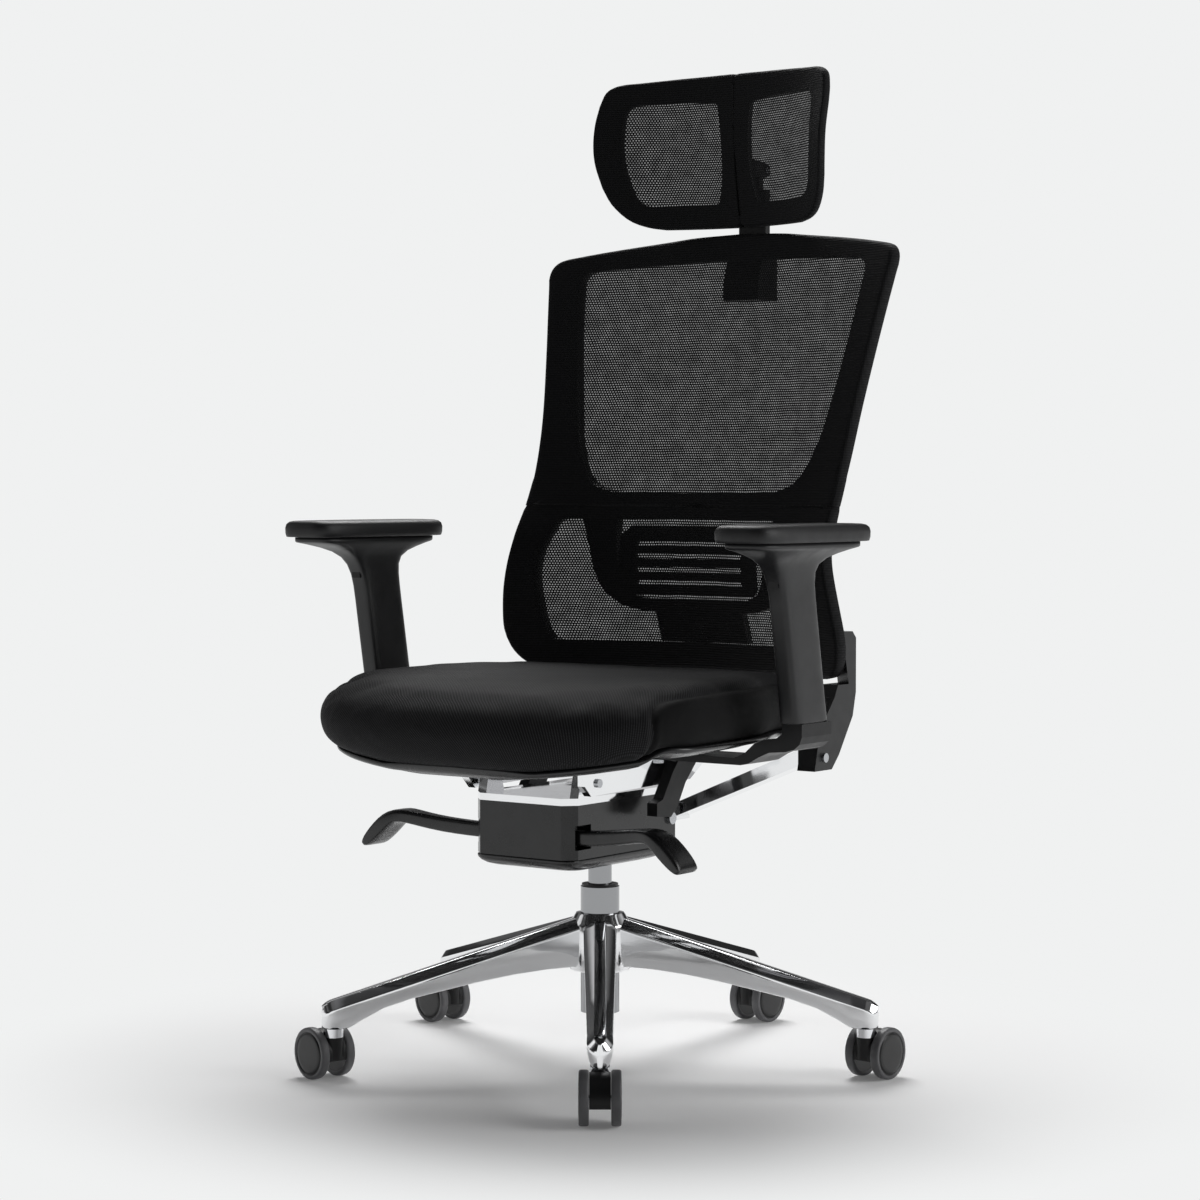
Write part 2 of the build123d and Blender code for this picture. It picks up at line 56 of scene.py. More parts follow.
# =====================================================================  helpers
def spline(tab):
    """natural cubic through rows of (z, a, b, ...)"""
    t = np.array(tab, float)
    z, ys = t[:, 0], t[:, 1:]
    n = len(z)
    h = np.diff(z)
    A = np.zeros((n, n))
    B = np.zeros((n, ys.shape[1]))
    A[0, 0] = A[-1, -1] = 1
    for i in range(1, n - 1):
        A[i, i - 1], A[i, i], A[i, i + 1] = h[i - 1], 2 * (h[i - 1] + h[i]), h[i]
        B[i] = 6 * ((ys[i + 1] - ys[i]) / h[i] - (ys[i] - ys[i - 1]) / h[i - 1])
    m = np.linalg.solve(A, B)

    def f(q):
        q = min(max(q, z[0]), z[-1])
        i = min(max(int(np.searchsorted(z, q)) - 1, 0), n - 2)
        hh = z[i + 1] - z[i]
        a, b = (z[i + 1] - q) / hh, (q - z[i]) / hh
        return a * ys[i] + b * ys[i + 1] + ((a ** 3 - a) * m[i] + (b ** 3 - b) * m[i + 1]) * hh * hh / 6
    return f


def path(pts, n, smooth=True):
    """n points evenly along a polyline or a smooth curve through pts; the last point is left out"""
    p = np.array(pts, float)
    if smooth and len(p) > 2:
        q = []
        e = np.vstack([2 * p[0] - p[1], p, 2 * p[-1] - p[-2]])
        for i in range(1, len(e) - 2):
            for t in np.linspace(0, 1, 12, endpoint=False):
                a, b, c, d = e[i - 1], e[i], e[i + 1], e[i + 2]
                q.append(0.5 * (2 * b + (c - a) * t + (2 * a - 5 * b + 4 * c - d) * t * t + (3 * b - a - 3 * c + d) * t ** 3))
        q.append(p[-1])
        p = np.array(q)
    s = np.concatenate([[0], np.cumsum(np.linalg.norm(np.diff(p, axis=0), axis=1))])
    k = np.linspace(0, s[-1], n + 1)[:-1]
    return np.stack([np.interp(k, s, p[:, j]) for j in range(p.shape[1])], 1)


def obj(name, verts, faces, mats=(), smooth=True, scale=MM):
    me = bpy.data.meshes.new(name)
    v = np.asarray(verts, float) * scale
    me.from_pydata([tuple(x) for x in v], [], [tuple(int(i) for i in f) for f in faces])
    me.validate(verbose=False)
    me.update()
    ob = bpy.data.objects.new(name, me)
    scene.collection.objects.link(ob)
    for m in mats:
        me.materials.append(m)
    if smooth:
        me.polygons.foreach_set("use_smooth", [True] * len(me.polygons))
    return ob


def tube_faces(rows, n, closed=True, base=0):
    f = []
    for r in range(rows - 1):
        for i in range(n if closed else n - 1):
            j = (i + 1) % n
            f.append((base + r * n + i, base + r * n + j, base + (r + 1) * n + j, base + (r + 1) * n + i))
    return f


def loft(name, rings, mats=(), cap=True, flip=False):
    """rings of equal length; the ends are closed"""
    n = len(rings[0])
    v = [p for r in rings for p in r]
    f = tube_faces(len(rings), n)
    if cap:
        for first, r in ((True, 0), (False, len(rings) - 1)):
            c = np.mean(np.array(rings[r]), axis=0)
            v.append(c)
            ci = len(v) - 1
            for i in range(n):
                j = (i + 1) % n
                f.append((r * n + j, r * n + i, ci) if first else (r * n + i, r * n + j, ci))
    if flip:
        f = [tuple(reversed(q)) for q in f]
    return obj(name, v, f, mats)


def mirrored(ob, name):
    me = ob.data.copy()
    co = np.zeros(len(me.vertices) * 3)
    me.vertices.foreach_get("co", co)
    co[0::3] *= -1
    me.vertices.foreach_set("co", co)
    me.flip_normals()
    o2 = bpy.data.objects.new(name, me)
    scene.collection.objects.link(o2)
    for m in ob.modifiers:
        if m.type == "BEVEL":
            k = o2.modifiers.new("bevel", "BEVEL")
            k.width, k.segments, k.limit_method, k.angle_limit = m.width, m.segments, m.limit_method, m.angle_limit
    return o2


def rrect(cx, cy, hx, hy, n=64, p=6.0, z=0.0):
    out = []
    for i in range(n):
        a = 2 * math.pi * i / n + math.pi / n
        c, s = math.cos(a), math.sin(a)
        out.append((cx + hx * math.copysign(abs(c) ** (2 / p), c), cy + hy * math.copysign(abs(s) ** (2 / p), s), z))
    return out


def bevel(node, width=0.0008, seg=3, angle=28):
    o = NODES[node] if isinstance(node, str) else node
    m = o.modifiers.new("bevel", "BEVEL")
    m.width, m.segments, m.limit_method, m.angle_limit = width, seg, "ANGLE", math.radians(angle)
    return o


def finish_piece(ob, body, rep=()):
    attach(ob, body)
    if rep:
        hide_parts(*rep)
    return ob


def dress(node, mat):
    o = NODES[node]
    if not o.data.materials:
        o.data.materials.append(mat)
    for s in o.material_slots:
        s.link = "OBJECT"
        s.material = mat
    return o


# =====================================================================  materials
class G:
    def __init__(self, name):
        self.m = bpy.data.materials.new(name)
        self.m.use_nodes = True
        self.nt = self.m.node_tree
        self.nt.nodes.clear()
        self.out = self.nt.nodes.new("ShaderNodeOutputMaterial")
        self.b = self.nt.nodes.new("ShaderNodeBsdfPrincipled")
        self.nt.links.new(self.b.outputs[0], self.out.inputs[0])
        self.tc = self.nt.nodes.new("ShaderNodeTexCoord").outputs["Object"]

    def link(self, a, b):
        self.nt.links.new(a, b)

    def node(self, kind, **kw):
        n = self.nt.nodes.new(kind)
        for k, v in kw.items():
            setattr(n, k, v)
        return n

    def math(self, op, a, b=0.5, c=0.0, clamp=False):
        n = self.node("ShaderNodeMath", operation=op, use_clamp=clamp)
        for i, x in enumerate((a, b, c)):
            if hasattr(x, "is_linked") or hasattr(x, "links"):
                self.link(x, n.inputs[i])
            elif i < len(n.inputs):
                n.inputs[i].default_value = x
        return n.outputs[0]

    def noise(self, scale, detail=3.0, rough=0.5, vec=None, stretch=None):
        n = self.node("ShaderNodeTexNoise")
        n.inputs["Scale"].default_value = scale
        n.inputs["Detail"].default_value = detail
        n.inputs["Roughness"].default_value = rough
        v = vec or self.tc
        if stretch:
            mp = self.node("ShaderNodeMapping")
            mp.inputs["Scale"].default_value = stretch
            self.link(v, mp.inputs[0])
            v = mp.outputs[0]
        self.link(v, n.inputs["Vector"])
        return n.outputs["Fac"]

    def ramp(self, fac, a, b, c0, c1):
        n = self.node("ShaderNodeValToRGB")
        n.color_ramp.elements[0].position, n.color_ramp.elements[1].position = a, b
        n.color_ramp.elements[0].color, n.color_ramp.elements[1].color = (*c0, 1), (*c1, 1)
        self.link(fac, n.inputs[0])
        return n.outputs[0]

    def range(self, fac, lo, hi, a=0.0, b=1.0):
        n = self.node("ShaderNodeMapRange")
        for k, v in zip(("From Min", "From Max", "To Min", "To Max"), (a, b, lo, hi)):
            n.inputs[k].default_value = v
        self.link(fac, n.inputs[0])
        return n.outputs[0]

    def bump(self, height, strength, dist, prev=None):
        n = self.node("ShaderNodeBump")
        n.inputs["Strength"].default_value = strength
        n.inputs["Distance"].default_value = dist
        self.link(height, n.inputs["Height"])
        if prev is not None:
            self.link(prev, n.inputs["Normal"])
        return n.outputs[0]

    def sep(self):
        n = self.node("ShaderNodeSeparateXYZ")
        self.link(self.tc, n.inputs[0])
        return n.outputs

    def comb(self, x, y, z=0.0):
        n = self.node("ShaderNodeCombineXYZ")
        for i, q in enumerate((x, y, z)):
            if hasattr(q, "links"):
                self.link(q, n.inputs[i])
            else:
                n.inputs[i].default_value = q
        return n.outputs[0]


def plastic(name, col, rough, grain=1500.0, depth=0.35, spec=0.5, vary=0.25, coat=0.0):
    g = G(name)
    lo = tuple(c * (1 - vary) for c in col)
    hi = tuple(min(1, c * (1 + vary)) for c in col)
    g.link(g.ramp(g.noise(14, 4, 0.6), 0.3, 0.7, lo, hi), g.b.inputs["Base Color"])
    g.link(g.range(g.noise(55, 4, 0.6), rough - 0.05, rough + 0.06, 0.3, 0.7), g.b.inputs["Roughness"])
    g.b.inputs["Specular IOR Level"].default_value = spec
    if coat:
        g.b.inputs["Coat Weight"].default_value = coat
        g.b.inputs["Coat Roughness"].default_value = 0.25
    v = g.node("ShaderNodeTexVoronoi")
    v.inputs["Scale"].default_value = grain
    g.link(g.tc, v.inputs["Vector"])
    b1 = g.bump(v.outputs["Distance"], depth, 0.00012)
    g.link(g.bump(g.noise(28, 2, 0.5), 0.12, 0.0006, b1), g.b.inputs["Normal"])
    return g.m


def metal(name, col, r0, r1, peel=0.05, brushed=None, tint=0.03):
    g = G(name)
    g.b.inputs["Metallic"].default_value = 1.0
    lo = tuple(c * (1 - tint) for c in col)
    g.link(g.ramp(g.noise(9, 3, 0.5), 0.35, 0.65, lo, col), g.b.inputs["Base Color"])
    n = g.noise(160, 5, 0.65, stretch=brushed) if brushed else g.noise(70, 5, 0.65)
    g.link(g.range(n, r0, r1, 0.3, 0.75), g.b.inputs["Roughness"])
    b = g.bump(g.noise(32, 2, 0.4), peel, 0.0006)
    if brushed:
        b = g.bump(n, 0.12, 0.00015, b)
    g.link(b, g.b.inputs["Normal"])
    return g.m


def knit(name, pitch_x, pitch_z, mortar, col=(0.0045, 0.0045, 0.005)):
    """open knitted mesh: staggered holes between yarns"""
    g = G(name)
    x, y, z = g.sep()
    wob = g.noise(38, 3, 0.6)
    wob2 = g.noise(21, 2, 0.5)
    u = g.math("ADD", x, g.math("MULTIPLY", g.math("SUBTRACT", wob, 0.5), 0.0030))
    v = g.math("ADD", z, g.math("MULTIPLY", g.math("SUBTRACT", wob2, 0.5), 0.0030))
    br = g.node("ShaderNodeTexBrick")
    br.offset, br.offset_frequency, br.squash = 0.5, 2, 1.0
    g.link(g.comb(u, v), br.inputs["Vector"])
    for k, q in (("Scale", 1.0), ("Mortar Size", mortar), ("Mortar Smooth", 0.35), ("Bias", 0.0), ("Brick Width", pitch_x), ("Row Height", pitch_z)):
        br.inputs[k].default_value = q
    fac = br.outputs["Fac"]
    at = g.node("ShaderNodeAttribute", attribute_name="open")
    hole = g.math("LESS_THAN", g.math("ADD", fac, g.math("MULTIPLY", g.noise(420, 2, 0.6), 0.30)), 0.45)
    veil = g.math("MULTIPLY", g.math("MULTIPLY", hole, g.math("GREATER_THAN", at.outputs["Fac"], 0.5)), g.range(g.noise(60, 3, 0.6), 0.20, 0.40, 0.3, 0.7))
    g.link(g.math("SUBTRACT", 1.0, veil), g.b.inputs["Alpha"])
    rib = g.math("SINE", g.math("MULTIPLY", v, 2 * math.pi / pitch_z))
    yarn = g.math("SINE", g.math("MULTIPLY", u, 4 * math.pi / pitch_x))
    h = g.math("ADD", g.math("MULTIPLY", rib, 0.6), g.math("MULTIPLY", yarn, 0.4))
    g.link(g.ramp(g.math("MULTIPLY_ADD", h, 0.5, 0.5), 0.2, 0.9, tuple(c * 0.55 for c in col), tuple(c * 1.9 for c in col)), g.b.inputs["Base Color"])
    g.b.inputs["Roughness"].default_value = 0.75
    g.b.inputs["Specular IOR Level"].default_value = 0.12
    g.b.inputs["Sheen Weight"].default_value = 0.02
    g.b.inputs["Sheen Roughness"].default_value = 0.5
    g.link(g.bump(h, 0.6, 0.0004), g.b.inputs["Normal"])
    return g.m


def twill(name):
    """seat cover: fine diagonal twill on the top, plainer smooth panel on the sides, chosen by the attribute 'panel'"""
    g = G(name)
    wv = g.node("ShaderNodeAttribute", attribute_name="weave")
    sp = g.node("ShaderNodeSeparateXYZ")
    g.link(wv.outputs["Vector"], sp.inputs[0])
    x, v, z = sp.outputs
    y = v
    P = 0.0030
    d1 = g.math("SINE", g.math("MULTIPLY", g.math("ADD", x, v), 2 * math.pi / (P * 1.414)))
    d2 = g.math("SINE", g.math("MULTIPLY", g.math("SUBTRACT", x, v), 2 * math.pi / (P * 1.0)))
    tw = g.math("MULTIPLY", g.math("MULTIPLY_ADD", d1, 0.5, 0.5), g.math("MULTIPLY_ADD", d2, 0.35, 0.65))
    s1 = g.math("SINE", g.math("MULTIPLY", y, 2 * math.pi / 0.0011))
    s2 = g.math("SINE", g.math("MULTIPLY", x, 2 * math.pi / 0.0011))
    pl = g.math("MULTIPLY_ADD", g.math("MULTIPLY", s1, s2), 0.5, 0.5)
    at = g.node("ShaderNodeAttribute", attribute_name="panel")
    pan = g.math("GREATER_THAN", at.outputs["Fac"], 0.5)
    mix = g.node("ShaderNodeMix", data_type="FLOAT")
    g.link(pan, mix.inputs[0]); g.link(tw, mix.inputs[2]); g.link(g.math("MULTIPLY", pl, 0.5), mix.inputs[3])
    h = mix.outputs[0]
    big = g.noise(7, 3, 0.5)
    c_t = g.ramp(tw, 0.05, 0.95, (0.0010, 0.0010, 0.0011), (0.030, 0.030, 0.0325))
    c_p = g.ramp(pl, 0.1, 0.9, (0.0016, 0.0016, 0.0018), (0.0032, 0.0032, 0.0035))
    mc = g.node("ShaderNodeMix", data_type="RGBA")
    g.link(pan, mc.inputs[0]); g.link(c_t, mc.inputs[6]); g.link(c_p, mc.inputs[7])
    mv = g.node("ShaderNodeMix", data_type="RGBA", blend_type="MULTIPLY")
    mv.inputs[0].default_value = 0.5
    g.link(mc.outputs[2], mv.inputs[6]); g.link(g.ramp(big, 0.3, 0.7, (0.7, 0.7, 0.7), (1, 1, 1)), mv.inputs[7])
    g.link(mv.outputs[2], g.b.inputs["Base Color"])
    g.link(g.range(big, 0.68, 0.8), g.b.inputs["Roughness"])
    g.b.inputs["Specular IOR Level"].default_value = 0.14
    g.b.inputs["Sheen Weight"].default_value = 0.03
    g.b.inputs["Sheen Roughness"].default_value = 0.45
    b = g.bump(h, 0.55, 0.0005)
    g.link(g.bump(g.noise(45, 3, 0.5), 0.15, 0.001, b), g.b.inputs["Normal"])
    return g.m


M_ALU = metal("polished_aluminium", (0.90, 0.905, 0.915), 0.05, 0.11)
M_SATIN = metal("satin_aluminium", (0.62, 0.62, 0.63), 0.30, 0.40, brushed=(1, 6, 6))
M_CHROME = metal("chrome", (0.86, 0.87, 0.89), 0.03, 0.06, peel=0.02)
M_STEEL = metal("steel", (0.50, 0.51, 0.53), 0.22, 0.34, brushed=(1, 1, 5))
M_BLACK = plastic("black_plastic", (0.0055, 0.0055, 0.006), 0.40, spec=0.32)
M_GLOSSY = plastic("satin_black_plastic", (0.006, 0.006, 0.0065), 0.24, grain=2200, depth=0.12, spec=0.45, coat=0.15)
M_GREY = plastic("grey_plastic", (0.010, 0.010, 0.0108), 0.38, grain=1700, depth=0.2, spec=0.42)
M_PAD = plastic("soft_pad", (0.010, 0.010, 0.0108), 0.46, grain=1200, depth=0.4, spec=0.36)
M_TREAD = plastic("wheel_tread", (0.105, 0.105, 0.11), 0.45, grain=1600, depth=0.3)
M_HUB = plastic("wheel_hub", (0.008, 0.008, 0.0085), 0.36, grain=1800, depth=0.2)
M_KNIT = knit("knit_mesh", 0.0034, 0.0030, 0.00100)
M_KNIT_H = knit("knit_mesh_head", 0.0032, 0.0028, 0.00094)
M_TWILL = twill("seat_twill")

MAT = {"polished_aluminium": M_ALU, "chrome": M_CHROME, "steel": M_STEEL, "black_plastic": M_BLACK, "grey_plastic": M_GREY,
       "soft_pad": M_PAD, "mesh_fabric": M_KNIT, "seat_fabric": M_TWILL, "caster_wheel": M_TREAD}
for sp in frame["record"]["subparts"]:
    dress(sp["node"], MAT[sp["material_slot"]])
for n in ("height_lever", "tilt_lever", "mech_housing", "mech_cover"):
    dress(n, M_GLOSSY)

# =====================================================================  back and headrest
BACK = spline([(430, 224, .00130), (470, 215, .00128), (530, 195, .00120), (575, 184, .001155), (600, 184, .00115), (650, 198, .00103),
               (700, 214, .00090), (770, 238, .00090), (850, 258, .00082), (930, 276, .00071), (1012, 297, .00062)])
HEAD = spline([(995, 303, .0026), (1050, 294, .0026), (1110, 286, .0025), (1160, 284, .00205), (1205, 285, .0018)])


def on(surf, x, z, d):
    yc, k = surf(z)
    return (x, yc - k * x * x + d, z)


def cell(segs, mirror):
    """matched outer and inner loops"""
    o, i = [], []
    for so, si, n, sm_o, sm_i in segs:
        o.append(path(so, n, sm_o))
        i.append(path(si, n, sm_i))
    o, i = np.vstack(o), np.vstack(i)
    if mirror:
        eo, ei = segs[-1][0][-1], segs[-1][1][-1]
        ro = np.vstack([[eo], o[::-1][:-1]]) * np.array([-1, 1])
        ri = np.vstack([[ei], i[::-1][:-1]]) * np.array([-1, 1])
        o, i = np.vstack([o, ro]), np.vstack([i, ri])
    return o, i


def frame_ring(name, surf, cells, thick, flat, mat, edge, p=4.5):
    """solid border between outer and inner loops, rounded on its free edges; flat(point) is true on a line shared by two cells"""
    V, F = [], []
    K = 12
    for o, i in cells:
        base = len(V)
        n = len(o)
        rows = []
        for s_i in range(2 * K):
            if s_i < K:
                s = 0.5 - 0.5 * math.cos(math.pi * s_i / K)
                sign = -1
            else:
                s = 0.5 + 0.5 * math.cos(math.pi * (s_i - K) / K)
                sign = 1
            q = (max(0.0, 1 - abs(2 * s - 1) ** p)) ** (1 / p)
            row = []
            for a, b in zip(o, i):
                qq = q
                if flat(a) and s < 0.5:
                    h = min(1.0, edge(a) / 16.0)
                    qq = max(q, (1 - (1 - h) ** p) ** (1 / p))
                P = a + (b - a) * s
                row.append(on(surf, P[0], P[1], 0.5 + (thick - 0.5) / 2 + sign * qq * (thick - 0.7) / 2))
            rows.append(row)
        rows.append(rows[0])
        for r in rows[:-1]:
            V.extend(r)
        R = 2 * K
        for r in range(R):
            for k in range(n):
                k2 = (k + 1) % n
                r2 = (r + 1) % R
                F.append((base + r * n + k, base + r2 * n + k, base + r2 * n + k2, base + r * n + k2))
    return obj(name, V, F, [mat])


def cover(name, surf, cells, thick, flat, mat, edge, rings=22):
    """one stretched fabric: wraps round the outer edge, over the border and across the window"""
    V, F, A = [], [], []
    prof = [(.20, thick + 1.0), (.10, thick + 1.1), (.02, thick + .3), (-.015, thick - 3), (-.03, thick * .5), (-.015, 3.5), (.02, .6), (.07, -.7),
            (.14, -1.1), (.3, -1.2), (.5, -1.2), (.7, -1.2), (.88, -1.2), (.985, -1.2), (1.0, -1.2)]
    for o, i in cells:
        n = len(o)
        c = np.array([np.mean(i[:, 0]), 0.5 * (i[:, 1].max() + i[:, 1].min())])
        base = len(V)
        cnt = 0
        for s, d in prof:
            for a, b in zip(o, i):
                shared = flat(a) and edge(a) > 6
                ss, dd = (max(s, 0.0), -1.2) if shared else (s, d)
                if shared and s < .1 and d > 0:
                    ss = 0.0
                P = a + (b - a) * ss
                V.append(on(surf, P[0], P[1], dd))
                A.append(1.0 if s >= 1 else 0.0)
            cnt += 1
        for r in range(1, rings):
            t = 1 - r / rings
            for b in i:
                P = c + (b - c) * t
                V.append(on(surf, P[0], P[1], -1.2))
                A.append(1.0)
            cnt += 1
        F += tube_faces(cnt, n, True, base)
        V.append(on(surf, c[0], c[1], -1.2))
        A.append(1.0)
        ci = len(V) - 1
        last = base + (cnt - 1) * n
        F += [(last + k, last + (k + 1) % n, ci) for k in range(n)]
    ob = obj(name, V, F, [mat])
    at = ob.data.attributes.new("open", "FLOAT", "POINT")
    at.data.foreach_set("value", np.array(A, np.float32))
    import bmesh
    bm = bmesh.new()
    bm.from_mesh(ob.data)
    bmesh.ops.remove_doubles(bm, verts=bm.verts, dist=0.00005)
    bmesh.ops.dissolve_degenerate(bm, edges=bm.edges, dist=0.00002)
    bm.to_mesh(ob.data)
    bm.free()
    return ob


MID = 659.0
up = cell([([(0, 998), (60, 996), (100, 992), (160, 985.4), (200, 980), (234, 974.4)], [(0, 965), (60, 964.2), (100, 963), (160, 960), (196, 957.4)], 22, 1, 1),
           ([(234, 974.4), (244, 971), (250.5, 965), (253.6, 957), (254, 948)], [(196, 957.4), (204, 956), (209, 952.4), (212.4, 946), (212.8, 939)], 8, 1, 1),
           ([(254, 948), (251, 930), (239.6, 850), (230, 770), (225.6, 700), (225.9, 688)], [(212.8, 939), (206.9, 890), (200.9, 850), (194.2, 810), (186.7, 770), (180, 740), (169, 712)], 40, 1, 1),
           ([(225.9, 688), (226.2, MID), (140, MID)], [(169, 712), (160, 697), (146, 684), (122, 676)], 16, 0, 1),
           ([(140, MID), (0, MID)], [(122, 676), (60, 674.4), (0, 674)], 16, 0, 1)], True)
lo = cell([([(0, MID), (140, MID)], [(0, 642), (140, 642)], 16, 0, 0),
           ([(140, MID), (226.2, MID), (228.4, 632)], [(140, 642), (168, 642), (180, 640), (186, 635), (188, 626)], 16, 0, 1),
           ([(228.4, 632), (231, 600), (240.4, 550), (245.5, 510), (244.3, 492)], [(188, 626), (196, 606), (202, 570), (202, 530), (200, 505)], 26, 1, 1),
           ([(244.3, 492), (240, 478), (232, 466), (222, 458.6), (205, 455)], [(200, 505), (197, 496), (192, 491), (184, 489)], 10, 1, 1),
           ([(205, 455), (0, 455)], [(184, 489), (0, 489)], 22, 0, 0)], True)


def flat_back(p):
    return abs(p[1] - MID) < 0.01


ring = frame_ring("back_frame_shell", BACK, [up, lo], 22.0, flat_back, M_BLACK, lambda a: 226.2 - abs(a[0]))
finish_piece(ring, "back", ["back_frame"])
fab = cover("back_mesh_cover", BACK, [up, lo], 22.0, flat_back, M_KNIT, lambda a: 226.2 - abs(a[0]))
finish_piece(fab, "back", ["back_mesh"])

hc = cell([([(24, 1196.8), (80, 1195), (141, 1190.6)], [(28, 1162), (70, 1165), (123, 1163.6)], 14, 1, 1),
           ([(141, 1190.6), (153, 1187.5), (162, 1180), (167, 1163)], [(123, 1163.6), (133, 1161.5), (139, 1154), (140.5, 1143)], 9, 1, 1),
           ([(167, 1163), (169, 1142), (168.6, 1115), (166.5, 1088), (161, 1059)], [(140.5, 1143), (140.6, 1118), (139, 1090), (134.5, 1064)], 16, 1, 1),
           ([(161, 1059), (153, 1038), (138, 1020), (120, 1011.4), (100, 1008)], [(134.5, 1064), (130, 1049), (121, 1039.5), (109, 1036)], 12, 1, 1),
           ([(100, 1008), (30, 1008)], [(109, 1036), (36, 1036)], 12, 0, 0),
           ([(30, 1008), (0, 1008), (0, 1046)], [(36, 1036), (28, 1038.5), (25, 1046)], 8, 0, 1),
           ([(0, 1046), (0, 1154)], [(25, 1046), (20.5, 1070), (19, 1100), (20, 1130), (22.6, 1154)], 14, 0, 1),
           ([(0, 1154), (0, 1197), (24, 1196.8)], [(22.6, 1154), (24, 1159.5), (28, 1162)], 8, 0, 1)], False)
hcm = (hc[0][::-1] * np.array([-1, 1]), hc[1][::-1] * np.array([-1, 1]))


def flat_head(p):
    return abs(p[0]) < 0.01


hring = frame_ring("headrest_frame_shell", HEAD, [hc, hcm], 14.0, flat_head, M_BLACK, lambda a: min(a[1] - 1008, 1197 - a[1]), p=4.0)
finish_piece(hring, "headrest")
hfab = cover("headrest_mesh_cover", HEAD, [hc, hcm], 14.0, flat_head, M_KNIT_H, lambda a: min(a[1] - 1008, 1197 - a[1]), rings=12)
finish_piece(hfab, "headrest", ["headrest_mesh"])


def area_of(ob):
    return sum(p.area for p in ob.data.polygons)


for ob, w, l in ((fab, 0.62, 0.62), (hfab, 0.42, 0.25)):
    a = area_of(ob)

# the lugs behind the headrest bar are built here, and the CAD headrest frame is hidden
lug = []
for sg in (-1, 1):
    hy, hz = 332.0, 1080.0
    ringp = []
    for x in (sg * 10.6, sg * 12.0, sg * 16.6, sg * 18.0):
        e = 0.0 if x in (sg * 12.0, sg * 16.6) else 1.0
        pr = [(299, hz - 12 + e), (hy - 4, hz - 10 + e)]
        for k in range(13):
            a = -math.pi / 2 + math.pi * k / 12
            pr.append((hy + (9 - e) * math.cos(a), hz + (9 - e) * math.sin(a)))
        pr += [(hy - 4, hz + 10 - e), (299, hz + 12 - e)]
        ringp.append([(x, a, b) for a, b in pr])
    lug.append(loft("headrest_lug_" + ("l" if sg < 0 else "r"), ringp, [M_BLACK], flip=sg > 0))
for o in lug:
    finish_piece(o, "headrest", ["headrest_frame"])

bevel("lumbar_cradle", 0.0025, 3)
bevel("lumbar_pad", 0.0012, 2)
bevel("headrest_bracket", 0.003, 3)
bevel("headrest_stem", 0.002, 3)

# =====================================================================  seat cushion
PLAN = [(0, -299), (-80, -296), (-155, -285), (-196, -270), (-222, -250), (-240, -222), (-250, -185), (-252, -140), (-248, -80), (-236, 0), (-214, 60),
        (-206, 110), (-192, 138), (-165, 150), (0, 151)]
half = path(PLAN, 90, True)
loop = np.vstack([half, (np.vstack([[PLAN[-1]], half[::-1][:-1]]) * np.array([-1, 1]))])
CEN = np.array([0.0, -75.0])
zt_f = spline([(-300, 428), (-280, 443), (-262, 449), (-240, 453.5), (-200, 458.5), (-120, 462), (0, 463.5), (90, 460.5), (130, 457.5), (153, 454)])
zb_f = spline([(-300, 402), (-288, 387), (-275, 374.5), (-262, 368), (-246, 368.5), (-228, 381), (-207, 398), (-185, 400.5), (-150, 400), (0, 400), (153, 400)])


def ztop(y):
    return float(zt_f(y)[0])


def zbot(x, y):
    return max(float(zb_f(y)[0]), 1496.5 - math.sqrt(1129.0 ** 2 - x * x))


def inset(e):
    d = loop - CEN
    r = np.linalg.norm(d, axis=1)
    return CEN + d * np.maximum(0.02, (r - e) / r)[:, None]


fw = np.clip((-170 - loop[:, 1]) / 80, 0, 1)
fw = fw * fw * (3 - 2 * fw)
EB, ET, ZW = 9 + 19 * fw, 15 + 30 * fw, 428 - 9 * fw
ET = ET - 7 * np.clip((loop[:, 1] - 100) / 40, 0, 1)
PB, PT = inset(EB), inset(ET)
ZB = np.array([zbot(x, y) for x, y in PB])
ZT = np.array([ztop(y) for x, y in PT])


def row(e, z):
    q = inset(e)
    return [(x, y, zz) for (x, y), zz in zip(q, z)]


rings = []
for t in (1, .72, .48, .28, .14, .05):
    q = inset(EB + (205 - EB) * t)
    rings.append([(x, y, zbot(x, y)) for x, y in q])
for a in (0, 12, 26, 42, 58, 74, 90):
    a = math.radians(a)
    rings.append(row(.8 + (EB - .8) * (1 - math.sin(a)), ZW - (ZW - ZB) * math.cos(a)))
for a in (14, 28, 42, 56, 70, 84):
    a = math.radians(a)
    rings.append(row(.8 + (ET - .8) * (1 - math.cos(a)), ZW + (ZT - ZW) * math.sin(a)))
for de in (8, 20, 38, 62, 92, 126, 160):
    q = inset(ET + de * (205 - ET) / 162)
    rings.append([(x, y, ztop(y) + .6) for x, y in q])
cush = loft("seat_cushion_cover", rings, [M_TWILL], flip=True)


def bake(ob):
    me = bpy.data.meshes.new_from_object(ob.evaluated_get(bpy.context.evaluated_depsgraph_get()))
    ob.modifiers.clear()
    old = ob.data
    ob.data = me
    bpy.data.meshes.remove(old)


def coords(me):
    a = np.zeros(len(me.vertices) * 3)
    me.vertices.foreach_get("co", a)
    return a.reshape(-1, 3)


def normals(me):
    a = np.zeros(len(me.vertices) * 3)
    me.vertices.foreach_get("normal", a)
    return a.reshape(-1, 3)


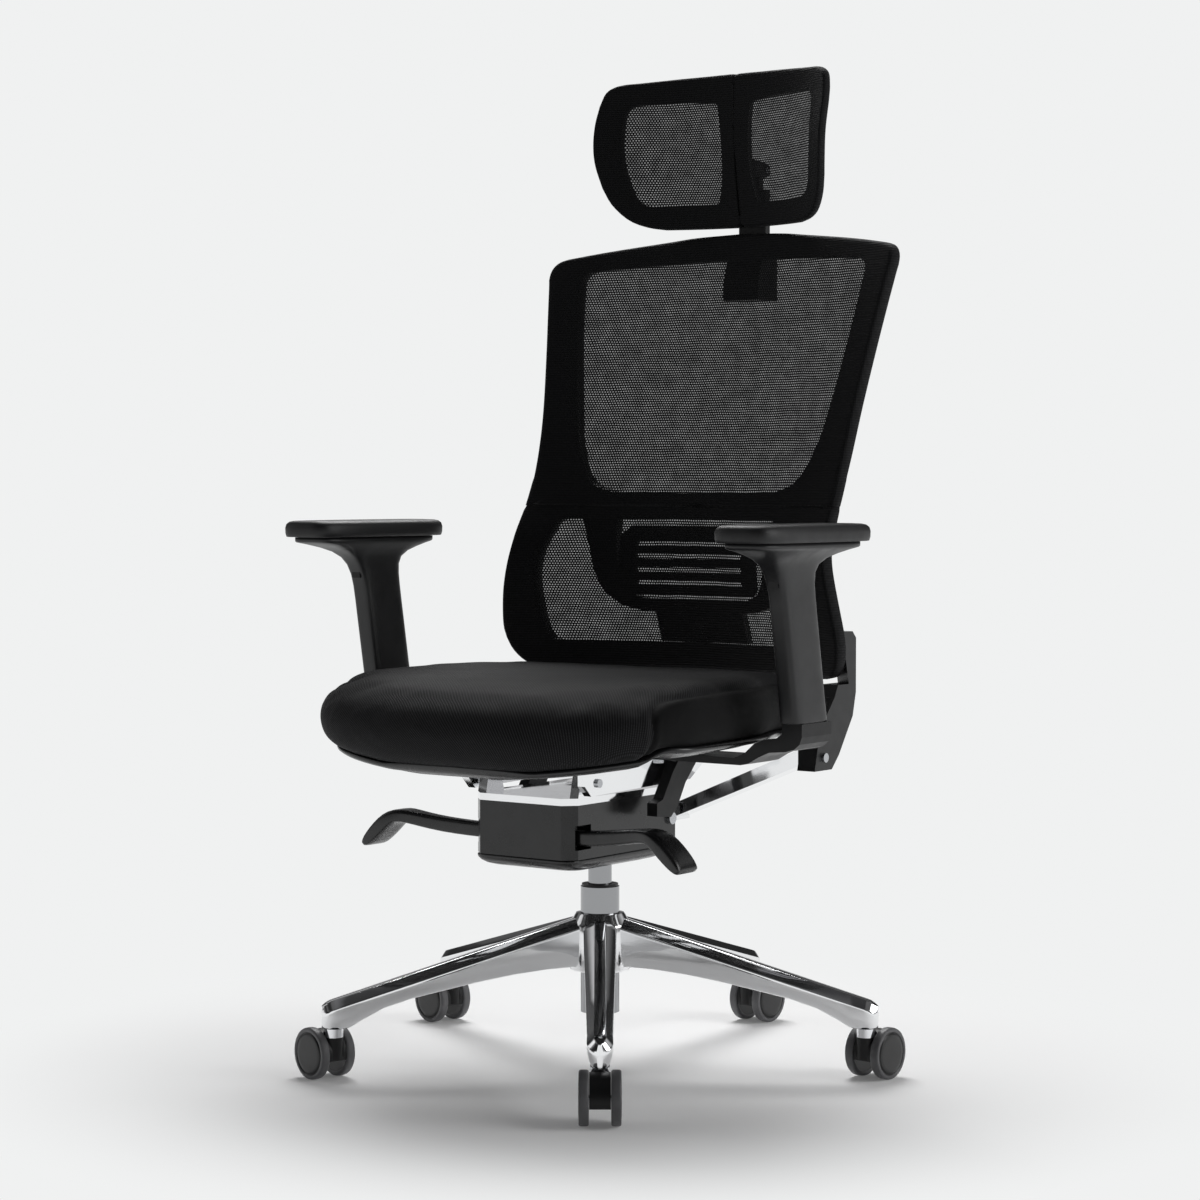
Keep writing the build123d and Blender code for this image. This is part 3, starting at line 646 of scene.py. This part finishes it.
def puff(ob, voxel, frames, pressure, cap, pinned):
    r = ob.modifiers.new("r", "REMESH")
    r.mode, r.voxel_size = "VOXEL", voxel
    bake(ob)
    start = coords(ob.data)
    vg = ob.vertex_groups.new(name="pin")
    for k in np.nonzero(pinned(start))[0]:
        vg.add([int(k)], 1.0, "REPLACE")
    c = ob.modifiers.new("c", "CLOTH")
    s = c.settings
    s.quality = 5
    s.mass = 0.25
    s.tension_stiffness = s.compression_stiffness = 18
    s.shear_stiffness = 8
    s.bending_stiffness = 2.0
    s.use_pressure = True
    s.uniform_pressure_force = pressure
    s.effector_weights.gravity = 0
    s.vertex_group_mass = "pin"
    c.point_cache.frame_start, c.point_cache.frame_end = 1, frames
    for f in range(1, frames + 1):
        scene.frame_set(f)
    ev = ob.evaluated_get(bpy.context.evaluated_depsgraph_get())
    end = coords(ev.data)
    d = end - start
    ln = np.linalg.norm(d, axis=1, keepdims=True)
    d = np.where(ln > cap, d * cap / np.maximum(ln, 1e-9), d)
    ob.modifiers.clear()
    ob.data.vertices.foreach_set("co", (start + d).ravel())
    ob.data.update()
    scene.frame_set(1)
    ob.vertex_groups.clear()


puff(cush, 0.0055, 16, 2.5, 0.005, lambda p: p[:, 2] < np.array([zbot(x * 1000, y * 1000) for x, y in p[:, :2]]) * MM + 0.010)
sm = cush.modifiers.new("s", "SMOOTH")
sm.factor, sm.iterations = 0.5, 14
ss = cush.modifiers.new("ss", "SUBSURF")
ss.levels = ss.render_levels = 1
bake(cush)


def groove(P, line, width, depth, nrm, mask):
    """push vertices in along a polyline given in two of the axes; returns signed depth"""
    L = np.array(line)
    best = np.full(len(P), 1e9)
    for a, b in zip(L[:-1], L[1:]):
        ab = b - a
        t = np.clip(((P - a) @ ab) / (ab @ ab), 0, 1)
        best = np.minimum(best, np.linalg.norm(P - (a + t[:, None] * ab), axis=1))
    return np.where(mask, depth * np.exp(-(best / width) ** 2), 0.0), best


co, nr = coords(cush.data), normals(cush.data)
SEAM = path([(-.218, .380), (-.225, .405), (-.2255, .425), (-.219, .441), (-.204, .4510), (-.18, .4550), (-.12, .4572), (0, .4568), (.09, .4535), (.15, .449)], 80)
side = np.abs(co[:, 0]) > 0.17
g1, dist = groove(co[:, 1:3], SEAM, 0.0026, 0.0022, nr, side)
# piping beside the seam
g1 = g1 - np.where(side, 0.0008 * np.exp(-((dist - 0.0065) / 0.003) ** 2), 0)
co2 = co - nr * g1[:, None]
wr = np.array([math.sin(p[1] * 90 + p[0] * 30) * math.sin(p[0] * 55 - p[1] * 20) for p in co]) * 0.0003
co2 = co2 + nr * wr[:, None]
cush.data.vertices.foreach_set("co", co2.ravel())
seam_z = np.interp(co[:, 1], SEAM[6:, 0], SEAM[6:, 1])
inside = np.minimum((co[:, 1] - (-.2245)) / .004, (seam_z - co[:, 2]) / .004)
att = cush.data.attributes.new("panel", "FLOAT", "POINT")
att.data.foreach_set("value", np.where(np.abs(co[:, 0]) > 0.12, np.clip(0.5 + inside, 0, 1), 0.0).astype(np.float32))
pl = co2[:, :2] - CEN * MM
pl = pl / np.maximum(np.linalg.norm(pl, axis=1, keepdims=True), 1e-6)
drop = np.maximum(0, np.array([ztop(min(max(y * 1000, -300), 153)) for y in co2[:, 1]]) * MM - co2[:, 2]) * 1.15
wv = np.zeros((len(co2), 3), np.float32)
wv[:, :2] = co2[:, :2] + pl * drop[:, None]
aw = cush.data.attributes.new("weave", "FLOAT_VECTOR", "POINT")
aw.data.foreach_set("vector", wv.ravel())
cush.data.update()
cush.data.polygons.foreach_set("use_smooth", [True] * len(cush.data.polygons))
finish_piece(cush, "seat", ["seat_cushion"])

# seat pan: thin rim under the cushion and a shallow underside
rows = []
for e, dz in [(10, 1.5), (-1, 1.2), (-4.5, .4), (-6, -1.6), (-5.2, -4.4), (-2, -6.4), (6, -7.2), (26, -7.6), (60, -8), (110, -8), (160, -8), (196, -8)]:
    q = inset(np.maximum(EB + e, 1.2))
    rr = []
    for x, y in q:
        t = min(1, max(0, (y + 215) / 40.0)) * min(1, max(0, (e - 6) / 20))
        rr.append((x, y, zbot(x, y) + dz - 5.6 * t))
    rows.append(rr)
pan = loft("seat_pan_shell", rows, [M_GLOSSY], cap=True)
finish_piece(pan, "seat", ["seat_pan"])


# =====================================================================  arms
def arm(prefix):
    T = math.tan(math.radians(10))
    prof = [(421.0, -60, 6, 287, 313), (423, -60.6, 6.2, 286.6, 313.4), (450, -65, .9, 286.6, 313.4), (500, -73.9, -7.9, 286.6, 313.4), (545, -81.8, -15.9, 286.6, 313.4),
            (562, -85.2, -18.8, 286.6, 313.4), (576, -89.5, -20.6, 286.5, 313.6), (588, -96, -20.5, 286.2, 314.6), (597, -105, -16, 285.4, 317), (604, -118, -4, 283.6, 321.5),
            (609, -134, 12, 281, 328), (613, -152, 28, 278.6, 335), (615.6, -166, 40, 277.2, 340.4), (617, -168, 42, 277, 341), (621.6, -168, 42, 277, 341)]
    rings = []
    zs = []
    for a, b in zip(prof[:-1], prof[1:]):
        k = max(1, int((b[0] - a[0]) / 8))
        for j in range(k):
            zs.append(tuple(np.array(a) + (np.array(b) - np.array(a)) * j / k))
    zs.append(prof[-1])
    for z, y0, y1, x0, x1 in zs:
        rings.append(rrect((x0 + x1) / 2, (y0 + y1) / 2, (x1 - x0) / 2, (y1 - y0) / 2, 72, 5.5, z))
    post = loft(prefix + "_sleeve_shell", rings, [M_GREY])
    pl = []
    for z, e, dz in [(0, 0, 0), (.4, -1.5, 0), (4.5, -2.6, 0), (11, -2.8, 0), (15.5, -1.6, 0), (18.3, 1.5, 0), (19.4, 6, 0), (19.8, 13, 0), (19.2, 24, 0), (18.9, 33, 0)]:
        pl.append(rrect(309, -62.5, 38.2 - e, 114.7 - e, 96, 5.0 if e < 10 else 3.6, 622.2 + z))
    pad = loft(prefix + "_pad_skin", pl, [M_PAD])
    return post, pad


pr, dr = arm("arm_r")
pl_, dl = mirrored(pr, "arm_l_sleeve_shell"), mirrored(dr, "arm_l_pad_skin")
for s, a, b in (("r", pr, dr), ("l", pl_, dl)):
    finish_piece(a, "arm_" + s, ["arm_sleeve_" + s])
    finish_piece(b, "arm_" + s, ["arm_pad_" + s])
    bevel("arm_bracket_" + s, 0.005, 4)
    bevel("arm_button_" + s, 0.0012, 3)

# =====================================================================  casters
TD = [(0.588, -0.809), (-0.971, 0.247), (0.065, 0.998), (-0.971, 0.247), (0.065, 0.998)]
AZ = [36.0, -36.0, 108.0, -108.0, 180.0]


def lathe(name, prof, centre, axis, mats, n=56, index=None):
    """profile of (along axis, radius) turned about an axis through centre, mm"""
    ax = Vector(axis).normalized()
    u = ax.orthogonal().normalized()
    w = ax.cross(u)
    V = []
    for h, r in prof:
        for k in range(n):
            a = 2 * math.pi * k / n
            p = Vector(centre) + ax * h + (u * math.cos(a) + w * math.sin(a)) * max(r, 0.01)
            V.append(tuple(p))
    F = tube_faces(len(prof), n)
    ob = obj(name, V, F, mats)
    if index:
        for pi, poly in enumerate(ob.data.polygons):
            poly.material_index = index(pi // n)
    return ob


WP = [(12.3, 4.0), (12.3, 24.4), (12.0, 25.6), (12.1, 28.4), (12.9, 29.5), (14.4, 29.95), (17.5, 30.0), (20.6, 29.95), (22.1, 29.5), (22.9, 28.4), (23.0, 25.8),
      (22.2, 25.0), (21.6, 24.4), (21.6, 23.4), (22.7, 22.9), (23.1, 22.0), (23.25, 18), (23.35, 12), (23.4, 6), (23.4, 0.0)]
for i, (az, td) in enumerate(zip(AZ, TD), 1):
    t = math.radians(az)
    px, py = 322 * math.sin(t), -322 * math.cos(t)
    n_ = math.hypot(*td)
    tx, ty = td[0] / n_, td[1] / n_
    c = (px + 19 * tx, py + 19 * ty, 30.0)
    for s, sg in (("l", 1), ("r", -1)):
        w = lathe(f"caster_{i}_wheel_{s}_detail", WP, c, (-ty * sg, tx * sg, 0), [M_TREAD, M_HUB], index=lambda r: 0 if 1 <= r <= 10 else 1)
        finish_piece(w, f"caster_{i}_wheel_{s}", [f"caster_{i}_wheel_{s}"])
    bevel(f"caster_{i}_fork", 0.0016, 3)
    bevel(f"caster_{i}_stem", 0.0012, 3)

# =====================================================================  metal and mechanism
LEGB = spline([(0, 118), (60, 117), (140, 108), (210, 95), (268, 80), (290, 69), (300, 63), (340, 62)])


def leg_section(rad, hw):
    zt = 177 - 84 * (rad - 20) / 304 - max(0, rad - 326) * .35
    zb = float(LEGB(rad)[0])
    k = min(1.0, hw / 14.0)
    pts = [(5.6 * k, zt), (6.8 * k, zt - .5), (hw - 1.4 * k, zt - 7.6), (hw - .2, zt - 9.2), (hw, zt - 10.4), (hw - .1, zt - 12.6), (hw - .7 * k, (zt + zb) / 2 + 1.6),
           (hw - 1.2 * k, zb + 13), (hw - 1.9 * k, zb + 10.6), (hw - 4.2 * k, zb + 2.6), (hw - 5 * k, zb + .8), (hw - 6.5 * k, zb)]
    return pts + [(-a, b) for a, b in reversed(pts)]


V, F = [], []
for az in AZ:
    t = math.radians(az)
    ux, uy = math.sin(t), -math.cos(t)
    base = len(V)
    st = [(22, 19.8), (40, 19.5), (70, 19), (110, 18.2), (150, 17.4), (190, 16.6), (230, 15.8), (265, 15.1), (290, 14.7), (305, 14.5), (322, 14.5), (327, 13.6), (331, 11.4),
          (334, 8.2), (336, 4), (336.4, .8)]
    for rad, hw in st:
        for u, z in leg_section(rad, hw):
            V.append((ux * rad - uy * u, uy * rad + ux * u, z))
    F += [tuple(reversed(f)) for f in tube_faces(len(st), 24, True, base)]
    last = base + (len(st) - 1) * 24
    F.append(tuple(last + k for k in range(24)))
    F.append(tuple(base + k for k in reversed(range(24))))
star = obj("base_star_casting", V, F, [M_ALU])
star.data.set_sharp_from_angle(angle=math.radians(22))
bv = star.modifiers.new("bevel", "BEVEL")
bv.width, bv.segments, bv.limit_method, bv.angle_limit, bv.harden_normals = 0.0004, 2, "ANGLE", math.radians(22), True
finish_piece(star, "base", ["base_star"])
hubm = lathe("base_hub", [(112, 23.2), (112, 34), (113.4, 36), (116, 37), (164, 37), (167.4, 36.2), (169.4, 34.6), (178.2, 29.6), (179.7, 28.4), (180, 26.8), (180, 23.2)],
             (0, 0, 0), (0, 0, 1), [M_ALU], n=96)
hubm.data.set_sharp_from_angle(angle=math.radians(24))
finish_piece(hubm, "base", ["base_star"])
bevel("column_tube", 0.001, 3)
bevel("column_bush", 0.001, 3)
bevel("mech_plate", 0.0014, 3)
bevel("mech_housing", 0.002, 3)
tub = loft("mech_cover_moulding", [rrect(0, -48.5, 71.6 - e, 106 - e * k, 96, 11, z) for z, e, k in
           ((260.8, 1.6, 1), (260.4, .4, 1), (259, 0, 1), (256.5, .6, 1), (253, 3, 1.2), (249.5, 7, 1.4), (246.8, 12.5, 1.6), (245, 19, 1.7), (244.2, 26, 1.8), (244, 36, 1.6), (244, 50, 1.3))],
           [M_GLOSSY], flip=True)
finish_piece(tub, "lift", ["mech_cover"])
bevel("seat_plate", 0.0014, 3)
bevel("seat_links", 0.003, 3)
bevel("back_yoke", 0.003, 4)
bevel("back_brackets", 0.003, 4)
for nm, sg, d in (("height_lever", -1, 0), ("tilt_lever", 1, 28)):
    st = [(12 if sg < 0 else 40, 285, 8, 7.5), (52, 285, 8.4, 8.4), (90, 285.6, 8.8, 8.8), (130 - d, 287.4, 9.6, 8.6), (158 - d, 290.5, 11, 8.2), (178 - d, 293.4, 13.5, 7.8),
          (192 - d, 294.6, 17, 7.6), (202 - d, 292.6, 19, 8.2), (213 - d, 284.4, 19.9, 9.4), (226 - d, 272.4, 20, 9.2), (236 - d, 263, 19.8, 7.4), (240.5 - d, 258.8, 19.4, 4.4), (241.6 - d, 257.8, 18.8, 2.6)]
    rr = []
    for k in range(len(st)):
        a, b = st[max(0, k - 1)], st[min(len(st) - 1, k + 1)]
        dx, dz = b[0] - a[0], b[1] - a[1]
        ln = math.hypot(dx, dz)
        nx, nz = -dz / ln, dx / ln
        x, z, hy, hz = st[k]
        rr.append([(sg * (x + nx * q[1]), -130 + q[0], z + nz * q[1]) for q in rrect(0, 0, hy, hz, 40, 5.0)])
    lv = loft(nm + "_moulding", rr, [M_GLOSSY], flip=sg < 0)
    sd = lv.modifiers.new("s", "SUBSURF")
    sd.levels = sd.render_levels = 1
    finish_piece(lv, nm, [nm])
bevel("back_screws", 0.0006, 2)
# the column chrome gets a darker colour than the base's: painted shade standing in for the shadowed floor it reflects,
# so that it stands out from the backdrop as it does in the photo
M_COLUMN_PAINTED_SHADE = metal("column_chrome_painted_shade", (0.345, 0.35, 0.36), 0.10, 0.16)
for n in ("column_tube", "gas_cylinder", "piston_rod"):
    dress(n, M_COLUMN_PAINTED_SHADE)
for i in range(1, 6):
    dress(f"caster_{i}_stem", M_CHROME)

# =====================================================================  studio
AZC, DIST, HCAM = math.radians(36), 3.45, 0.688
cam_d = bpy.data.cameras.new("camera")
cam = bpy.data.objects.new("camera", cam_d)
scene.collection.objects.link(cam)
cam_d.sensor_width = 36.0
cam_d.lens = 2930.0 / 1200.0 * 36.0
cam_d.clip_end = 200
cam.location = (math.sin(AZC) * DIST, -math.cos(AZC) * DIST, HCAM)
cam.rotation_euler = (math.radians(90 - 2.306), 0, AZC)
scene.camera = cam


def area(name, loc, target, size, power, col=(1, 1, 1), sy=None):
    d = bpy.data.lights.new(name, "AREA")
    d.energy, d.size, d.color = power, size, col
    if sy:
        d.shape, d.size_y = "RECTANGLE", sy
    o = bpy.data.objects.new(name, d)
    scene.collection.objects.link(o)
    o.location = loc
    o.rotation_euler = (Vector(target) - Vector(loc)).to_track_quat("-Z", "Y").to_euler()
    return o


area("top_soft", (-1.05, 1.35, 2.7), (0, 0, 0.35), 1.7, 74)
area("right_rim", (3.0, 1.1, 1.7), (0.1, 0, 0.6), 1.6, 42, sy=2.4)
area("left_soft", (-3.0, -1.4, 1.8), (0, 0, 0.6), 1.8, 6, sy=2.2)

fl = obj("floor", [(-40, -40, 0), (40, -40, 0), (40, 40, 0), (-40, 40, 0)], [(0, 1, 2, 3)], smooth=False, scale=1.0)
g = G("floor_paint")
g.b.inputs["Base Color"].default_value = (0.86, 0.86, 0.86, 1)
g.b.inputs["Roughness"].default_value = 0.9
g.b.inputs["Specular IOR Level"].default_value = 0.0
g.b.inputs["Emission Color"].default_value = (1, 1, 1, 1)
g.b.inputs["Emission Strength"].default_value = 0.10
ln = g.node("ShaderNodeVectorMath", operation="LENGTH")
g.link(g.tc, ln.inputs[0])
far = g.node("ShaderNodeMapRange", interpolation_type="SMOOTHSTEP")
far.inputs["From Min"].default_value, far.inputs["From Max"].default_value = 0.33, 0.78
g.link(ln.outputs["Value"], far.inputs[0])
em = g.node("ShaderNodeEmission")
em.inputs[0].default_value = (0.871, 0.879, 0.879, 1)
mxs = g.node("ShaderNodeMixShader")
g.link(far.outputs[0], mxs.inputs[0])
g.link(g.b.outputs[0], mxs.inputs[1])
g.link(em.outputs[0], mxs.inputs[2])
g.link(mxs.outputs[0], g.out.inputs[0])
fl.data.materials.append(g.m)

w = bpy.data.worlds.new("studio")
scene.world = w
w.use_nodes = True
nt = w.node_tree
nt.nodes.clear()
out = nt.nodes.new("ShaderNodeOutputWorld")
lp = nt.nodes.new("ShaderNodeLightPath")
mixs = nt.nodes.new("ShaderNodeMixShader")
bg1 = nt.nodes.new("ShaderNodeBackground")
bg2 = nt.nodes.new("ShaderNodeBackground")
bg2.inputs[0].default_value = (0.871, 0.879, 0.879, 1)
tcw = nt.nodes.new("ShaderNodeTexCoord")
sepw = nt.nodes.new("ShaderNodeSeparateXYZ")
nt.links.new(tcw.outputs["Generated"], sepw.inputs[0])
rz = nt.nodes.new("ShaderNodeValToRGB")
cr = rz.color_ramp
cr.elements[0].position, cr.elements[0].color = 0.0, (0.5, 0.5, 0.5, 1)
cr.elements[1].position, cr.elements[1].color = 1.0, (0.20, 0.20, 0.21, 1)
for pos, c in ((0.49, 0.80), (0.545, 0.70), (0.570, 0.10), (0.66, 0.07), (0.72, 0.50), (0.80, 0.12), (0.92, 0.16)):
    e = cr.elements.new(pos)
    e.color = (c, c, c * 1.01, 1)
mr = nt.nodes.new("ShaderNodeMapRange")
mr.inputs["From Min"].default_value, mr.inputs["From Max"].default_value = -1, 1
nt.links.new(sepw.outputs[2], mr.inputs[0])
nt.links.new(mr.outputs[0], rz.inputs[0])
dt = nt.nodes.new("ShaderNodeVectorMath")
dt.operation = "DOT_PRODUCT"
dt.inputs[1].default_value = (0.588, -0.809, 0)
nt.links.new(tcw.outputs["Generated"], dt.inputs[0])
m2 = nt.nodes.new("ShaderNodeMapRange")
m2.inputs["From Min"].default_value, m2.inputs["From Max"].default_value = 0.1, 0.9
m2.inputs["To Min"].default_value, m2.inputs["To Max"].default_value = 1.0, 0.22
nt.links.new(dt.outputs["Value"], m2.inputs[0])
mul = nt.nodes.new("ShaderNodeMix")
mul.data_type, mul.blend_type = "RGBA", "MULTIPLY"
mul.inputs[0].default_value = 1.0
nt.links.new(rz.outputs[0], mul.inputs[6])
nt.links.new(m2.outputs[0], mul.inputs[7])
at2 = nt.nodes.new("ShaderNodeMath")
at2.operation = "ARCTAN2"
nt.links.new(sepw.outputs[1], at2.inputs[0])
nt.links.new(sepw.outputs[0], at2.inputs[1])
ph = nt.nodes.new("ShaderNodeMath")
ph.operation = "MULTIPLY_ADD"
ph.inputs[1].default_value, ph.inputs[2].default_value = 5.0, 0.6
nt.links.new(at2.outputs[0], ph.inputs[0])
cs = nt.nodes.new("ShaderNodeMath")
cs.operation = "COSINE"
nt.links.new(ph.outputs[0], cs.inputs[0])
mr3 = nt.nodes.new("ShaderNodeMapRange")
mr3.inputs["From Min"].default_value, mr3.inputs["From Max"].default_value = -0.5, 0.2
mr3.inputs["To Min"].default_value, mr3.inputs["To Max"].default_value = 0.28, 1.0
nt.links.new(cs.outputs[0], mr3.inputs[0])
mul3 = nt.nodes.new("ShaderNodeMix")
mul3.data_type, mul3.blend_type = "RGBA", "MULTIPLY"
mul3.inputs[0].default_value = 1.0
nt.links.new(mul.outputs[2], mul3.inputs[6])
nt.links.new(mr3.outputs[0], mul3.inputs[7])
nt.links.new(mul3.outputs[2], bg1.inputs[0])
bg1.inputs[1].default_value = 1.0
nt.links.new(lp.outputs["Is Camera Ray"], mixs.inputs[0])
nt.links.new(bg1.outputs[0], mixs.inputs[1])
nt.links.new(bg2.outputs[0], mixs.inputs[2])
nt.links.new(mixs.outputs[0], out.inputs[0])
scene.view_settings.view_transform = "Standard"
scene.view_settings.look = "None"
